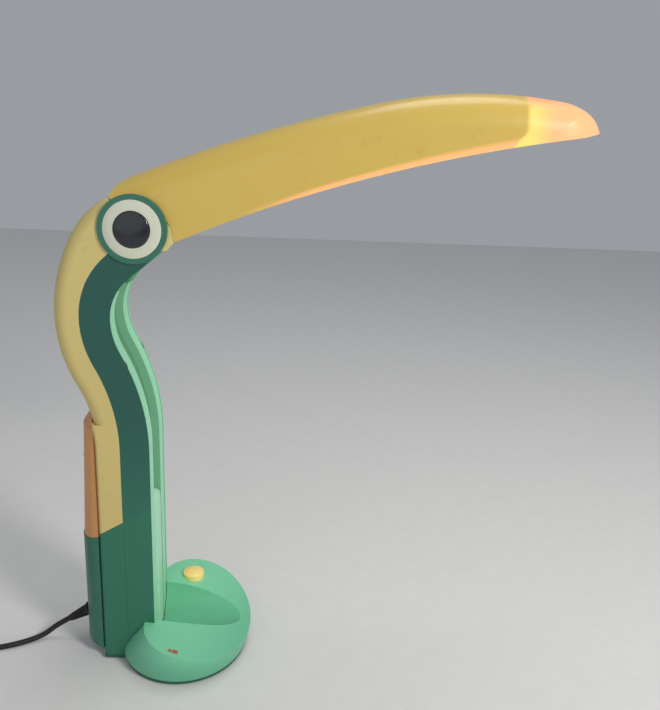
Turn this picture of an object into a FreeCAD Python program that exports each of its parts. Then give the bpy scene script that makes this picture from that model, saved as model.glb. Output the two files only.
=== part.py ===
import FreeCAD, Part
import os
from math import acos, atan2, cos, degrees, hypot, pi, radians, sin, sqrt, tan

# Folding desk lamp shaped like a long-billed bird. All sizes are in millimetres.
# +X is the way the beak points, +Z is up, Y=0 is the middle plane of the neck and the beak, and Z=0 is
# the table under the foot pad. The origin is below the middle of the round base.

V = FreeCAD.Vector
DOWN_X, UP_Y, UP_Z = V(-1, 0, 0), V(0, 1, 0), V(0, 0, 1)

# --- driving dimensions -------------------------------------------------------------------------------
WALL = 2.4  # moulded wall of the neck, the base and the covers
GAP = 0.3  # clearance between pieces that move past each other

# neck: two half shells, an S in side view, open to the front
NECK_HALF = 32.0  # half of the neck's width
NECK_FRONT = -22.0  # front edge of the straight lower neck
NECK_BACK = -68.0  # back edge of the straight lower neck
NECK_FOOT = 4.5  # height of the neck's lower end
FRONT_BEND = 208.0  # height where the front edge starts to curve
FRONT_WAIST = 322.0  # height of the hollow of the front edge
FRONT_SWING = 28.3  # how far that hollow lies behind the straight front edge
BACK_BEND = 205.0
BACK_BULGE = 321.0  # height of the rearmost point of the neck
BACK_SWING = 30.0
LOW_SPLIT = 230.0  # above this height the back corners are well rounded
BACK_ROUND = 12.0
BACK_CORNER = 3.0
HEAD_R = 27.2  # round cheek of the neck that carries the eye
EYE_R = 23.0  # hole of the raised ring round the eye
LINER_TOP = 343.0

# fixings
COVER_SCREWS = (88.0, 190.0)  # heights of the screws that hold the two rear covers
NECK_SCREWS = ((-60.0, 118.0), (-60.0, 215.0), (-88.0, 330.0))  # across the neck, as (x, z)
HEAD_SINK = 1.7  # how deep the heads of those screws lie in the far panel
REAR_FIXING = (-60.0, 25.0)  # base plate to neck, as (x, +-y)
FRONT_FIXING = (26.0, 50.0)  # base plate to base shell, as (x, +-y)

# hinge
PIVOT_X, PIVOT_Z = -30.0, 395.0
BOLT_R = 2.5

# beak, measured from the pivot
BRACKET_R = 26.0  # round plates of the hinge bracket
BEAK_HALF = 28.4
BEAK_WALL = 2.2
CREST_R1, CREST_R2 = 1275.0, 389.0  # the two arcs of the crest
CREST_JOIN = (190.0, 102.1)
CREST_SLOPE = 13.3  # slope of the crest where its two arcs meet, in degrees
CREST_HEEL = (-7.0, 38.2)
RIM_HEEL = (31.3, -9.8)  # the shade's open lower rim runs from here
RIM_MIDDLE = (190.0, 47.5)
RIM_TIP = (350.0, 82.0)  # to here
NOSE_END = (368.0, 86.3)
NOSE_TIPS = (  # how far the nose reaches at each height
    (78.0, 368.3),
    (86.0, 367.8),
    (93.0, 364.4),
    (99.0, 359.0),
    (104.0, 350.5),
    (108.5, 336.0),
    (120.0, 290.0),
)
NOSE_PLAN = 45.0  # length of the nose's rounding in plan
REFLECTOR_END = 302.0

# base
BASE_FLOOR = 4.5  # top of the base plate
PLATE_LOW = 1.5  # underside of the base plate, on its pad
BASE_R = 64.5  # mean radius of the base at its foot
TOP_BACK, TOP_MIDDLE, TOP_FRONT = (-60.0, 42.5), (20.0, 33.7), (75.0, 14.0)  # side view of its top
TOP_TILT = 4.0  # degrees by which the top rises towards +Y, the side of the button
TOP_AXIS = 36.0  # height of the line about which the top is tilted
SCOOP = (96.0, 28.0, 28.5)  # semi-axes of the hollow that takes the folded beak
SCOOP_Z = 41.0
BUTTON_X, BUTTON_Y, BUTTON_R = 2.0, 44.5, 10.3
BUTTON_TOP = 45.2  # height of the edge of its cap

# rear housing
REAR_HALF = 29.0
REAR_DEPTH = 21.3
REAR_SPLIT, REAR_TILT = 123.5, 0.28  # height of the seam between the covers at the neck, and its slope
REAR_TOP = 242.0
REAR_FOOT, REAR_RISE = 8.5, 0.2  # height of the lower cover's end at the neck, and its slope
REAR_FLOOR = 16.0  # inside floor of the lower cover

# mains lead, a round flex that leaves the rear housing through a boot that points 30 degrees down
CORD_R = 2.5
CORD_LENGTH = 1800.0
BOOT_TILT = 30.0
BOOT_ROOT = V(NECK_BACK - REAR_DEPTH + 0.6, 0, 31.3)
BOOT_TIP = V(-108.6, 0, 20.0)
CORD_ROUTE = [
    BOOT_TIP,
    V(-120.7, -0.5, 13.0),
    V(-132.0, -5.0, 4.5),
    V(-146.0, -13.0, CORD_R),
    V(-165.0, -22.0, CORD_R),
    V(-190.0, -28.0, CORD_R),
    V(-212.0, -30.0, CORD_R),
    V(-232.0, -30.0, CORD_R),
]
COIL_X, COIL_Y, COIL_MIDDLE, COIL_HALF = -252.0, 0.0, 30.0, 7.5
TAIL_ROUTE = [
    V(-282.0, 18.0, CORD_R),
    V(-282.0, 32.0, 3.2),
    V(-281.0, 46.0, 4.8),
    V(-280.0, 56.0, 5.4),
]
PLUG_X, PLUG_Y, PLUG_Z = -280.0, 56.0, 5.4


# --- helpers ------------------------------------------------------------------------------------------
def line(a, b):
    return Part.LineSegment(a, b).toShape()


def outline(start, *steps):
    """Closed wire in the XZ plane. A step of two numbers is a line, one of four an arc (middle, end)."""
    first = here = V(start[0], 0, start[1])
    edges = []
    for step in steps:
        end = V(step[-2], 0, step[-1])
        if len(step) == 4:
            edges.append(Part.Arc(here, V(step[0], 0, step[1]), end).toShape())
        else:
            edges.append(line(here, end))
        here = end
    if here.distanceToPoint(first) > 1e-6:
        edges.append(line(here, first))
    return Part.Wire(edges)


def turn(cx, cz, r, a0, a1):
    """Arc step about (cx, cz) from angle a0 to a1, in degrees from +X towards +Z."""
    mid, end = radians((a0 + a1) / 2), radians(a1)
    return (cx + r * cos(mid), cz + r * sin(mid), cx + r * cos(end), cz + r * sin(end))


def slab(wire, y0, y1):
    """The XZ wire's area, from Y=y0 to Y=y1."""
    face = Part.Face(wire)
    face.translate(V(0, y0, 0))
    return face.extrude(V(0, y1 - y0, 0))


def box(x0, x1, y0, y1, z0, z1):
    return Part.makeBox(x1 - x0, y1 - y0, z1 - z0, V(x0, y0, z0))


def rod(r, start, direction, length):
    return Part.makeCylinder(r, length, start, direction)


def mirrored(shape):
    return shape.mirror(V(0, 0, 0), UP_Y)


def both_sides(shape):
    return Part.makeCompound([shape, mirrored(shape)])


def head(x, z):
    """A point given from the pivot, as (x, z) of the part."""
    return (PIVOT_X + x, PIVOT_Z + z)


def save(name, shape):
    shape.exportStep(os.path.join("parts", name + ".step"))
    solids = shape.Solids
    ok = shape.isValid() and all(s.Volume > 0 for s in solids)
    volume = sum(s.Volume for s in solids) / 1000
    print(f"{name:22s} solids {len(solids)}  volume {volume:8.2f} cm3  {'ok' if ok else 'BAD'}")


def top_points(drop=0.0):
    """The three points of the base's sloping top, lowered by drop."""
    return [(x, z - drop) for x, z in (TOP_BACK, TOP_MIDDLE, TOP_FRONT)]


# --- neck profile -------------------------------------------------------------------------------------
FRONT_ANGLE = 2 * degrees(atan2(FRONT_SWING, FRONT_WAIST - FRONT_BEND))
FRONT_R2 = 61.8  # hollow arc
FRONT_R1 = (FRONT_SWING**2 + (FRONT_WAIST - FRONT_BEND) ** 2) / (2 * FRONT_SWING) - FRONT_R2
FRONT_R3 = 43.0  # arc under the cheek
CHIN_ANGLE = 52.0
BACK_ANGLE = 2 * degrees(atan2(BACK_SWING, BACK_BULGE - BACK_BEND))
BACK_R = (BACK_SWING**2 + (BACK_BULGE - BACK_BEND) ** 2) / (4 * BACK_SWING)
NAPE_R1, NAPE_A1 = 144.0, 26.4
NAPE_R2, NAPE_A2 = 79.9, 33.5
WAIST_X = NECK_FRONT - FRONT_SWING
REAR_X = NECK_BACK - BACK_SWING


def back_arcs(inset=0.0):
    """The arcs up the neck's back, parallel to it at that inset: centre, radius and two angles each."""
    reach = NAPE_R1 - NAPE_R2
    nape = (REAR_X + NAPE_R1, BACK_BULGE)
    crown = (nape[0] - reach * cos(radians(NAPE_A1)), nape[1] + reach * sin(radians(NAPE_A1)))
    return [
        (NECK_BACK - BACK_R, BACK_BEND, BACK_R + inset, 0, BACK_ANGLE),
        (REAR_X + BACK_R, BACK_BULGE, BACK_R - inset, 180 + BACK_ANGLE, 180),
        (*nape, NAPE_R1 - inset, 180, 180 - NAPE_A1),
        (*crown, NAPE_R2 - inset, 180 - NAPE_A1, 180 - NAPE_A1 - NAPE_A2),
    ]


def back_curve(inset=0.0):
    return [turn(*arc) for arc in back_arcs(inset)]


def front_curve(inset=0.0):
    """Steps down the neck's front to (NECK_FRONT - inset, FRONT_BEND), parallel to it at that inset."""
    return [
        turn(WAIST_X + FRONT_R3, FRONT_WAIST, FRONT_R3 + inset, 180 - CHIN_ANGLE, 180),
        turn(WAIST_X + FRONT_R2, FRONT_WAIST, FRONT_R2 + inset, 180, 180 + FRONT_ANGLE),
        turn(NECK_FRONT - FRONT_R1, FRONT_BEND, FRONT_R1 - inset, FRONT_ANGLE, 0),
    ]


def chin(inset=0.0):
    """Where the front edge leaves the straight chin line under the cheek."""
    a, r = radians(180 - CHIN_ANGLE), FRONT_R3 + inset
    return (WAIST_X + FRONT_R3 + r * cos(a), FRONT_WAIST + r * sin(a))


def neck_profile(inset=0.0, front_inset=0.0, low=NECK_FOOT):
    """Side view of the neck without its round cheek."""
    a = radians(90 - CHIN_ANGLE)
    touch = head((HEAD_R - inset) * sin(a), -(HEAD_R - inset) * cos(a))
    return outline(
        (NECK_BACK + inset, low),
        (NECK_BACK + inset, BACK_BEND),
        *back_curve(inset),
        head(-10, 8),
        touch,
        chin(front_inset),
        *front_curve(front_inset),
        (NECK_FRONT - front_inset, low),
    )


def rounded_back(solid, side, radius, inset):
    """Round the long back edges of a neck slab at Y=side."""
    picked = []
    for edge in solid.Edges:
        b = edge.BoundBox
        p = edge.valueAt((edge.FirstParameter + edge.LastParameter) / 2)
        on_line = abs(p.x - NECK_BACK - inset) < 0.01 and p.z < BACK_BEND
        on_arc = any(abs(hypot(p.x - x, p.z - z) - r) < 0.01 for x, z, r, _, _ in back_arcs(inset))
        if max(abs(b.YMin - side), abs(b.YMax - side)) < 1e-3 and (on_line or on_arc):
            picked.append(edge)
    return solid.makeFillet(radius, picked)


def neck_half(side, inset):
    """Half of the neck's envelope, from Y=side to Y=0, with its back edges rounded."""
    body = slab(neck_profile(inset, -6.0 if inset else 0.0), side, 0)
    cut = 400
    low = body.common(box(-cut, cut, side - 1, 1, 0, LOW_SPLIT))
    high = body.common(box(-cut, cut, side - 1, 1, LOW_SPLIT, 500))
    low = rounded_back(low, side, BACK_CORNER if not inset else BACK_CORNER - WALL + 1, inset)
    high = rounded_back(high, side, BACK_ROUND - inset, inset)
    return low.fuse(high).removeSplitter()


def neck_shell():
    """Near half shell (-Y): cheek, side panel and back wall, open to the front and at the joint plane."""
    cheek = rod(HEAD_R, V(PIVOT_X, -NECK_HALF, PIVOT_Z), UP_Y, WALL)
    ring = rod(HEAD_R, V(PIVOT_X, -NECK_HALF - 1.8, PIVOT_Z), UP_Y, 1.8)
    ring = ring.cut(rod(EYE_R, V(PIVOT_X, -NECK_HALF - 2, PIVOT_Z), UP_Y, 3))
    shell = neck_half(-NECK_HALF, 0).cut(neck_half(-NECK_HALF + WALL, WALL))
    shell = shell.fuse([cheek, ring])
    inner = rod(HEAD_R + 17.5, V(PIVOT_X, -NECK_HALF + WALL, PIVOT_Z), UP_Y, NECK_HALF)
    tail = outline(head(-60, -60), head(-60, 22), head(-18, 22), head(-18, -60))
    swing = rod(BRACKET_R + 1.5, V(PIVOT_X, -NECK_HALF + WALL, PIVOT_Z), UP_Y, NECK_HALF)
    shell = shell.cut([inner.cut(slab(tail, -40, 40)), swing])
    shell = shell.cut(rod(BOLT_R, V(PIVOT_X, -50, PIVOT_Z), UP_Y, 60))
    for z in COVER_SCREWS:
        shell = shell.cut(rod(1.5, V(NECK_BACK - 5, 0, z), -DOWN_X, 12))
    start = -NECK_HALF + WALL - 0.2
    posts = [rod(4, V(x, start, z), UP_Y, -start) for x, z in NECK_SCREWS]
    lug = box(NECK_BACK + 1, NECK_BACK + 14, -NECK_HALF + 1, -NECK_HALF + 12, NECK_FOOT, 14)
    shell = shell.fuse([*posts, lug])
    for x, z in NECK_SCREWS:
        shell = shell.cut(rod(1.5, V(x, -NECK_HALF + 6, z), UP_Y, NECK_HALF))
    x, y = REAR_FIXING
    return shell.cut(rod(1.5, V(x, -y, 0), UP_Z, 13)).removeSplitter()


def neck_shell_far(near):
    """Mirror of the near shell, with clear holes and sunk heads for the screws that join the two."""
    shell = mirrored(near)
    for x, z in NECK_SCREWS:
        sunk = rod(3.3, V(x, NECK_HALF - HEAD_SINK - 1.5, z), UP_Y, HEAD_SINK + 3)
        shell = shell.cut([rod(1.7, V(x, -1, z), UP_Y, 40), sunk])
    return shell


def strip(near, far, half, low, high=LINER_TOP):
    """A strip that follows the neck's front edge, between two insets, cut to a height range."""
    wire = outline(
        (NECK_FRONT - near, low),
        (NECK_FRONT - far, low),
        (NECK_FRONT - far, FRONT_BEND),
        turn(NECK_FRONT - FRONT_R1, FRONT_BEND, FRONT_R1 - far, 0, FRONT_ANGLE),
        turn(WAIST_X + FRONT_R2, FRONT_WAIST, FRONT_R2 + far, 180 + FRONT_ANGLE, 180),
        turn(WAIST_X + FRONT_R3, FRONT_WAIST, FRONT_R3 + far, 180, 180 - CHIN_ANGLE),
        chin(near),
        *front_curve(near),
    )
    return slab(wire, -half, half).common(box(-200, 200, -half, half, 0, high))


def screw(r, head_r, head_h, start, direction, length):
    """Head from start along the direction, then the shank."""
    shank = rod(r, start, direction, length)
    return rod(head_r, start, direction, head_h).fuse(shank).removeSplitter()


def neck_screws():
    return Part.makeCompound([
        screw(1.5, 3.2, 1.5, V(x, NECK_HALF - HEAD_SINK, z), V(0, -1, 0), 51) for x, z in NECK_SCREWS
    ])


LIP = 0.6  # how far the side panels stand in front of the channel's ledges
GROOVE_DEPTH, GROOVE_HALF, SKIN = 7.0, 15.0, 2.0
LINER_LOW = 8.0


def channel_liner():
    """Ledges on both sides of a deeper groove, all along the front of the neck."""
    ledges = strip(LIP, LIP + SKIN, NECK_HALF - WALL - 0.05, LINER_LOW)
    trough = strip(LIP, LIP + GROOVE_DEPTH + SKIN, GROOVE_HALF + SKIN, LINER_LOW)
    groove = strip(-3, LIP + GROOVE_DEPTH, GROOVE_HALF, 0, 500)
    return ledges.fuse(trough).cut(groove).removeSplitter()


def groove_cover():
    """Raised cover with a round top, in the lower part of the groove."""
    back, front, centre, half = NECK_FRONT - LIP - GROOVE_DEPTH, NECK_FRONT + 0.5, 146.0, 11.0
    low = 18.0
    body = box(back, front, -half, half, low, centre)
    body = body.fuse(rod(half, V(back, 0, centre), -DOWN_X, front - back))
    body = body.removeSplitter()
    rim = [e for e in body.Edges if e.BoundBox.XMin > front - 1e-3 and e.BoundBox.ZMax > low + 1]
    return body.makeFillet(4.5, rim)


# --- rear housing -------------------------------------------------------------------------------------
def half_oval(half, depth, z):
    """Wire at height z: half an oval behind the neck's back edge, closed by a straight line."""
    a, b = V(NECK_BACK, half, z), V(NECK_BACK, -half, z)
    oval = Part.Ellipse(a, V(NECK_BACK - depth, 0, z), V(NECK_BACK, 0, z))
    return Part.Wire([Part.ArcOfEllipse(oval, 0, pi).toShape(), line(b, a)])


def boot_axis():
    return V(-cos(radians(BOOT_TILT)), 0, -sin(radians(BOOT_TILT)))


def cover_screws():
    """One screw in each rear cover, into the back wall of the neck."""
    xs = (NECK_BACK - REAR_DEPTH - 1.3, NECK_BACK - 18.7)
    return Part.makeCompound([
        screw(1.5, 2.8, 1.3, V(x, 0, z), -DOWN_X, NECK_BACK + 2 - x) for x, z in zip(xs, COVER_SCREWS)
    ])


def below_seam():
    """Everything below the sloping seam between the two rear covers."""
    reach = 40.0
    back, drop = NECK_BACK - reach, REAR_TILT * reach
    side = outline((NECK_BACK, 0), (NECK_BACK, REAR_SPLIT), (back, REAR_SPLIT - drop), (back, 0))
    return slab(side, -50, 50)


def shadow_gap():
    """Narrow groove where the rear covers meet the neck."""
    side = box(NECK_BACK - 1.6, NECK_BACK, REAR_HALF - 2.2, REAR_HALF + 5, 0, REAR_TOP)
    return both_sides(side)


def rear_lower():
    outer = Part.Face(half_oval(REAR_HALF, REAR_DEPTH, NECK_FOOT)).extrude(V(0, 0, REAR_SPLIT - NECK_FOOT))
    reach = 40.0
    foot = outline((NECK_BACK, 0), (NECK_BACK, REAR_FOOT), (NECK_BACK - reach, REAR_FOOT + REAR_RISE * reach),
                   (NECK_BACK - reach, 0))
    outer = outer.common(below_seam()).cut([shadow_gap(), slab(foot, -50, 50)])
    inner = Part.Face(half_oval(REAR_HALF - WALL, REAR_DEPTH - WALL, REAR_FLOOR)).extrude(V(0, 0, 200))
    hole = rod(4.2, BOOT_ROOT - boot_axis() * 12, boot_axis(), 30)
    screw_hole = rod(1.7, V(-120, 0, COVER_SCREWS[0]), -DOWN_X, 60)
    return outer.cut([inner, hole, screw_hole, cord_boot()])


def rear_upper():
    """Slimmer upper cover: it gets shallower towards its closed top."""
    def body(inset, low):
        middle = half_oval(REAR_HALF - 0.5 - inset, 15.5 - inset, 226)
        tall = [half_oval(REAR_HALF - 0.5 - inset, 21.2 - inset, low), middle]
        cap = [middle, half_oval(REAR_HALF - 8 - inset, 5.5 - inset * 0.8, REAR_TOP - inset)]
        return Part.makeLoft(tall, True, True).fuse(Part.makeLoft(cap, True, True))
    low = REAR_SPLIT - 20
    shell = body(0, low).cut(body(WALL, low - 2)).cut([below_seam(), shadow_gap()])
    neck = slab(neck_profile(), -NECK_HALF, NECK_HALF)
    return shell.cut(neck).cut(rod(1.7, V(-120, 0, COVER_SCREWS[1]), -DOWN_X, 60)).removeSplitter()


# --- base ---------------------------------------------------------------------------------------------
def base_ring(z, blend, grow=0.0):
    """Closed smooth plan curve of the base at height z; blend goes from the foot (0) to the rim (1)."""
    foot = (BASE_R, 1.5, -4.5, 0.0)
    rim = (56.3, 22.5, -15.3, 0.9)
    c = [f + (r - f) * blend for f, r in zip(foot, rim)]
    points = []
    for i in range(36):
        a = 2 * pi * i / 36
        r = c[0] + c[1] * cos(a) + c[2] * cos(2 * a) + c[3] * cos(3 * a) + grow
        points.append(V(r * cos(a), r * sin(a), z))
    curve = Part.BSplineCurve()
    curve.interpolate(points, PeriodicFlag=True)
    return Part.Wire([curve.toShape()])


def base_body(inset=0.0):
    """The base as a solid lump, before its top, its scoop and the neck's seat are cut."""
    rings = [
        base_ring(BASE_FLOOR, 0.0, -2.0 - inset),
        base_ring(13.0, 0.1, -inset),
        base_ring(30.0, 0.55, -inset),
        base_ring(52.0, 1.0, -inset),
    ]
    return Part.makeLoft(rings, True, False)


def above_top(drop=0.0):
    """Everything above the sloping top."""
    a, b, c = top_points(drop)
    solid = slab(outline(a, (*b, *c), (100, c[1]), (100, 120), (-100, 120), (-100, a[1])), -100, 100)
    solid.rotate(V(0, 0, TOP_AXIS), V(1, 0, 0), TOP_TILT)
    return solid


def scoop(grow=0.0):
    """Ellipsoid hollow in front of the neck."""
    ball = Part.makeSphere(1.0)
    m = FreeCAD.Matrix()
    m.scale(SCOOP[0] + grow, SCOOP[1] + grow, SCOOP[2] + grow)
    ball = ball.transformGeometry(m)
    ball.translate(V(NECK_FRONT, 0, SCOOP_Z))
    return ball


def neck_seat(gap):
    return box(-120, NECK_FRONT + gap, -NECK_HALF - gap, NECK_HALF + gap, -10, 120)


def base_shell():
    """Hollow body of the base, open underneath, with two posts for its screws."""
    thick = WALL + 0.4
    hollow = base_body(thick).cut(above_top(thick)).cut(scoop(WALL))
    shell = base_body().cut(above_top()).cut(scoop()).cut(hollow).cut(neck_seat(0.1))
    x, y = FRONT_FIXING
    for side in (-y, y):
        post = rod(4, V(x, side, BASE_FLOOR), UP_Z, 40).cut(above_top(1.0))
        shell = shell.fuse(post).cut(rod(1.5, V(x, side, 0), UP_Z, 14))
    return shell.cut(rod(BUTTON_R + GAP, V(BUTTON_X, BUTTON_Y, 20), UP_Z, 40))


def base_plate():
    plate = Part.Face(base_ring(PLATE_LOW, 0.0, -2.6)).extrude(V(0, 0, BASE_FLOOR - PLATE_LOW))
    neck = box(NECK_BACK, NECK_FRONT, -NECK_HALF, NECK_HALF, PLATE_LOW, BASE_FLOOR)
    plate = plate.fuse(neck).removeSplitter()
    for x, y in plate_fixings():
        plate = plate.cut([rod(1.7, V(x, y, 0), UP_Z, 9), rod(3.2, V(x, y, 0), UP_Z, PLATE_LOW + 1.4)])
    return plate


def plate_fixings():
    return [(x, side * y) for x, y in (REAR_FIXING, FRONT_FIXING) for side in (-1, 1)]


def plate_screws():
    return Part.makeCompound([
        screw(1.5, 3.0, 1.3, V(x, y, PLATE_LOW + 0.1), UP_Z, 10.5) for x, y in plate_fixings()
    ])


def foot_pad():
    """Soft pad glued under the base plate."""
    pad = Part.Face(base_ring(0, 0.0, -7.0)).extrude(V(0, 0, PLATE_LOW))
    pad = pad.fuse(box(NECK_BACK + 2, -40, -20, 20, 0, PLATE_LOW)).removeSplitter()
    return pad.cut([rod(4.5, V(x, y, 0), UP_Z, PLATE_LOW) for x, y in plate_fixings()])


def base_weight():
    """Steel plate that lies on the base plate, cut out for the switch and the fixing posts."""
    disc = rod(49, V(4, 0, BASE_FLOOR), UP_Z, 4.0).cut(box(-80, NECK_FRONT + 1, -80, 80, 0, 20))
    disc = disc.cut(switch_space(1.0))
    x, y = FRONT_FIXING
    return disc.cut([rod(5, V(x, side, 0), UP_Z, 20) for side in (-y, y)])


def lobe_weight():
    """Cast block in the lobe opposite the switch."""
    block = box(-16, 18, -57, -35, BASE_FLOOR + 4, 25)
    return block.makeFillet(4, [e for e in block.Edges if e.BoundBox.ZLength > 10])


def switch_space(gap):
    dx, dy = 10 + gap, 9 + gap
    return box(BUTTON_X - dx, BUTTON_X + dx, BUTTON_Y - dy, BUTTON_Y + dy, BASE_FLOOR, 22)


def switch_body():
    return switch_space(0).cut(rod(3.3, V(BUTTON_X, BUTTON_Y, 14), UP_Z, 20))


def button():
    """Domed cap with a stem that reaches into the switch and a flange that keeps it in the base."""
    r, low, top = BUTTON_R, 30.0, BUTTON_TOP
    dome = outline(
        (0, 18), (3, 18), (3, low), (r + 1.4, low), (r + 1.4, low + 1.4), (r, low + 1.4), (r, top - 1.2),
        (r - 0.5, top - 0.3, r - 1.5, top), (r * 0.5, top + 1.2, 0.6, top + 1.6), (0, top + 1.6),
    )
    solid = Part.Face(dome).revolve(V(0, 0, 0), UP_Z, 360)
    solid.translate(V(BUTTON_X, BUTTON_Y, 0))
    return solid


def button_spring():
    r, half = 4.4, 0.4
    helix = Part.makeHelix(1.55, 7.0, r)
    corners = [V(r + a, 0, b) for a, b in ((-half, -half), (half, -half), (half, half), (-half, half))]
    section = Part.Wire([line(p, q) for p, q in zip(corners, corners[1:] + corners[:1])])
    spring = Part.Wire(helix.Edges).makePipeShell([section], True, True)
    spring.translate(V(BUTTON_X, BUTTON_Y, 22.45))
    return spring


# --- inside the neck ----------------------------------------------------------------------------------
CHOKE_X, CHOKE_LOW, CHOKE_HIGH = -49.0, 24.0, 84.0


def choke_core():
    """Laminated core with three legs."""
    core = box(CHOKE_X - 10, CHOKE_X + 10, -17, 17, CHOKE_LOW, CHOKE_HIGH)
    window = box(CHOKE_X - 11, CHOKE_X + 11, 5, 13, CHOKE_LOW + 8, CHOKE_HIGH - 8)
    return core.cut([window, mirrored(window)])


def choke_coil():
    coil = box(CHOKE_X - 15, CHOKE_X + 15, -12.6, 12.6, CHOKE_LOW + 8.4, CHOKE_HIGH - 8.4)
    coil = coil.makeFillet(3, [e for e in coil.Edges if e.BoundBox.ZLength > 20])
    return coil.cut(box(CHOKE_X - 10.1, CHOKE_X + 10.1, -5.1, 5.1, 0, 100))


def choke_bracket():
    """Bent steel strip that stands on the base plate and holds the core by its sides."""
    leg = box(CHOKE_X - 8, CHOKE_X + 8, 17, 18.2, BASE_FLOOR, CHOKE_HIGH)
    foot = box(CHOKE_X - 8, CHOKE_X + 8, -18.2, 18.2, BASE_FLOOR, BASE_FLOOR + 1.2)
    return foot.fuse([leg, mirrored(leg)]).removeSplitter()


def terminal_block():
    body = box(CHOKE_X - 8, CHOKE_X + 8, -15, 15, CHOKE_HIGH, CHOKE_HIGH + 11)
    wells = [rod(2.1, V(CHOKE_X, y, CHOKE_HIGH + 4), UP_Z, 9) for y in (-10, 10)]
    return body.cut(wells)


def terminal_screws():
    return Part.makeCompound([rod(2.0, V(CHOKE_X, y, CHOKE_HIGH + 4), UP_Z, 5) for y in (-10, 10)])


def tube(points, r, label=""):
    """A round tube along straight runs joined by the largest tangent arcs that the runs allow."""
    edges, start, radii = [], points[0], []
    for before, here, after in zip(points, points[1:], points[2:]):
        a, b = (before - here), (after - here)
        run = min(a.Length, b.Length)
        a.normalize()
        b.normalize()
        half = (pi - acos(max(-1, min(1, a.dot(b))))) / 2
        radius = 0.45 * run / tan(half)
        radii.append(round(radius, 1))
        first, last = here + a * (0.45 * run), here + b * (0.45 * run)
        toward = (a + b).normalize()
        middle = here + toward * (radius / cos(half) - radius)
        edges += [line(start, first), Part.Arc(first, middle, last).toShape()]
        start = last
    edges.append(line(start, points[-1]))
    path = Part.Wire(edges)
    section = Part.Wire(Part.makeCircle(r, points[0], points[1] - points[0]))
    solid = path.makePipeShell([section], True, True)
    if label:
        print(f"{label}: arc radii {radii} mm, length {path.Length:.1f} mm,", end=" ")
        print(f"volume {solid.Volume / (pi * r * r * path.Length):.3f} of section times length")
    return solid


def neck_wires():
    """Sleeved pair from the terminal block up behind the channel to a clip below the hinge."""
    knots = ((-50, 95), (-50, 150), (-51, 205), (-64, 255), (-75, 300), (-78, 340), (-74, 372))
    return tube([V(x, 0, z) for x, z in knots], 1.8)


def wire_clip():
    """Block on the back wall of the neck that grips the sleeved wires."""
    wall = neck_half(-NECK_HALF, 0).cut(neck_half(-NECK_HALF + WALL, WALL))
    return box(-90, -68, -5, 5, 362, 368).cut([neck_wires(), wall, mirrored(wall)])


# --- hinge fittings and eyes --------------------------------------------------------------------------
def pivot_bolt():
    return screw(BOLT_R, 4.5, 2.6, V(PIVOT_X, -NECK_HALF - 2.6, PIVOT_Z), UP_Y, 2 * NECK_HALF + 4.8)


def pivot_nut():
    angles = [i * pi / 3 for i in range(7)]
    corners = [V(PIVOT_X + 4.4 * cos(a), NECK_HALF, PIVOT_Z + 4.4 * sin(a)) for a in angles]
    hexagon = Part.Face(Part.Wire([line(p, q) for p, q in zip(corners, corners[1:])]))
    return hexagon.extrude(V(0, 2.2, 0)).cut(rod(BOLT_R, V(PIVOT_X, 20, PIVOT_Z), UP_Y, 20))


def friction_washers():
    thick = 0.9
    washer = rod(9, V(PIVOT_X, NECK_HALF - WALL - thick, PIVOT_Z), UP_Y, thick)
    return both_sides(washer.cut(rod(BOLT_R + 0.1, V(PIVOT_X, 0, PIVOT_Z), UP_Y, 60)))


def turned(profile):
    """Solid turned about the pivot: the profile is (radius, height above the cheek)."""
    solid = Part.Face(outline(*profile)).revolve(V(0, 0, 0), UP_Z, 360)
    solid.rotate(V(0, 0, 0), V(1, 0, 0), 90)
    solid.translate(V(PIVOT_X, -NECK_HALF, PIVOT_Z))
    return solid


def eye_white():
    return turned([(14.6, 0), (EYE_R - 0.1, 0), (EYE_R - 0.1, 1.7), (19.0, 2.7, 14.6, 3.1)])


def eye_pupil():
    edge, dome = (13.9, 3.9, 12.8, 4.2), (6.5, 4.9, 0.6, 5.1)
    return turned([(9.5, 0), (14.4, 0), (14.4, 3.3), edge, dome, (0, 5.1), (0, 3.2), (9.5, 3.2)])


# --- beak ---------------------------------------------------------------------------------------------
CREST_C1 = (
    CREST_JOIN[0] + CREST_R1 * sin(radians(CREST_SLOPE)),
    CREST_JOIN[1] - CREST_R1 * cos(radians(CREST_SLOPE)),
)
CREST_C2 = (
    CREST_JOIN[0] + CREST_R2 * sin(radians(CREST_SLOPE)),
    CREST_JOIN[1] - CREST_R2 * cos(radians(CREST_SLOPE)),
)


def arch(half, top, deep):
    """Wire across the crest at its join, in the plane X=0 before it is placed: a round-topped gate."""
    r = half - 3.0
    flat = half - r
    low = top - deep
    k = r * (1 - sqrt(0.5))
    corner = [V(0, half, top - r), V(0, half - k, top - k), V(0, flat, top)]
    return Part.Wire([
        line(V(0, half, low), corner[0]),
        Part.Arc(*corner).toShape(),
        line(corner[2], V(0, -flat, top)),
        Part.Arc(V(0, -flat, top), V(0, -half + k, top - k), V(0, -half, top - r)).toShape(),
        line(V(0, -half, top - r), V(0, -half, low)),
        line(V(0, -half, low), V(0, half, low)),
    ])


def vault(inset):
    """The crest's round-topped arch swept along its two arcs, well past both ends."""
    solids = []
    for (cx, cz), r, angle in ((CREST_C1, CREST_R1, -14.0), (CREST_C2, CREST_R2, 36.0)):
        face = Part.Face(arch(BEAK_HALF - inset, -inset, 150))
        face.rotate(V(0, 0, 0), UP_Y, -CREST_SLOPE)
        face.translate(V(CREST_JOIN[0], 0, CREST_JOIN[1]))
        solids.append(face.revolve(V(cx, 0, cz), UP_Y, angle))
    both = solids[0].fuse(solids[1])
    both.translate(V(PIVOT_X, 0, PIVOT_Z))
    return both


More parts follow.
